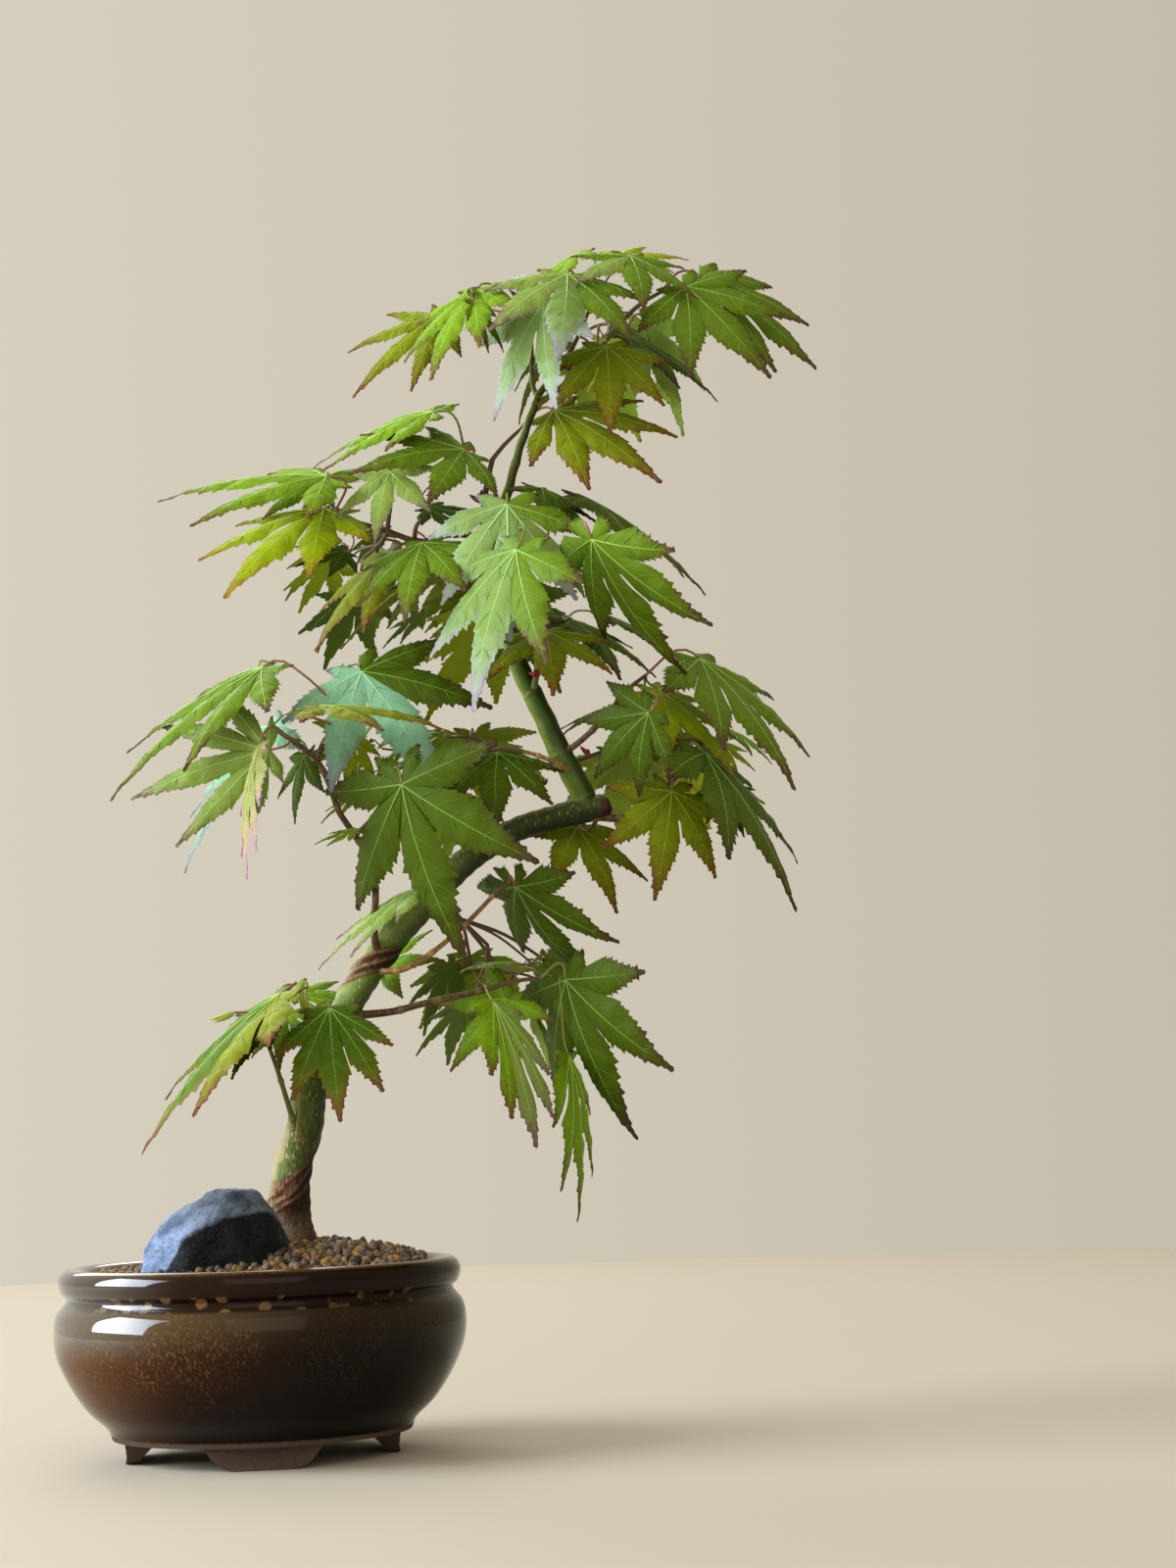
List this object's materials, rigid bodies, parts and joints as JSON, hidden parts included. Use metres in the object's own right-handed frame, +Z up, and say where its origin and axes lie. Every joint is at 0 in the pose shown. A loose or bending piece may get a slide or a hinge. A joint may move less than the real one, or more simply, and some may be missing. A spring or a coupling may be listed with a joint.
{
  "type": "japanese maple bonsai",
  "caption": "Small leaning bonsai tree with lobed green leaves on a twisted trunk, in a round glazed bowl on feet, with gravel and a dark rock.",
  "frame": {"origin": "on the ground, under the middle of the whole plant's box", "axes": "+X to the right as seen from the front, where the rock is left of the trunk; +Y to the back; +Z up"},
  "size_m": [0.2556, 0.1544, 0.3995],
  "materials": {
    "glaze": "gloss",
    "gravel": "matte",
    "rock": "satin",
    "bark": "matte",
    "green_bark": "satin",
    "twig_bark": "satin",
    "leaf": "satin"
  },
  "bodies": {
    "root": {"pot": "glaze", "gravel": "gravel", "rock": "rock", "trunk": "bark", "leader": "green_bark", "bough_left_middle": "twig_bark", "bough_lower_right": "twig_bark", "bough_red": "twig_bark", "shoot_lower_left": "twig_bark", "shoot_lower_front": "twig_bark", "bough_elbow": "twig_bark", "bough_right_middle": "twig_bark", "shoot_leader": "twig_bark", "shoot_leader_foot": "twig_bark", "bough_upper_left": "twig_bark", "shoot_side": "twig_bark", "shoot_apex": "twig_bark", "bough_top_right": "twig_bark", "foliage_top_centre": "leaf", "foliage_top_right": "leaf", "foliage_top_left": "leaf", "foliage_top_under": "leaf", "foliage_upper_middle": "leaf", "foliage_upper_left_back": "leaf", "foliage_upper_left_tip": "leaf", "foliage_upper_left_front": "leaf", "foliage_upper_left_low": "leaf", "foliage_centre_front": "leaf", "foliage_centre_right": "leaf", "foliage_centre_low": "leaf", "foliage_left_middle": "leaf", "foliage_left_front": "leaf", "foliage_big_leaf": "leaf", "foliage_elbow": "leaf", "foliage_right_middle": "leaf", "foliage_right_low": "leaf", "foliage_under_elbow": "leaf", "foliage_lower_right_high": "leaf", "foliage_lower_right": "leaf", "foliage_lower_left": "leaf", "foliage_lower_left_front": "leaf", "foliage_trunk_front": "leaf", "foliage_trunk_back": "leaf", "foliage_back_top": "leaf", "foliage_back_upper": "leaf", "foliage_back_left": "leaf", "foliage_back_middle": "leaf", "foliage_back_right": "leaf", "foliage_back_low": "leaf"}
  },
  "joints": []
}
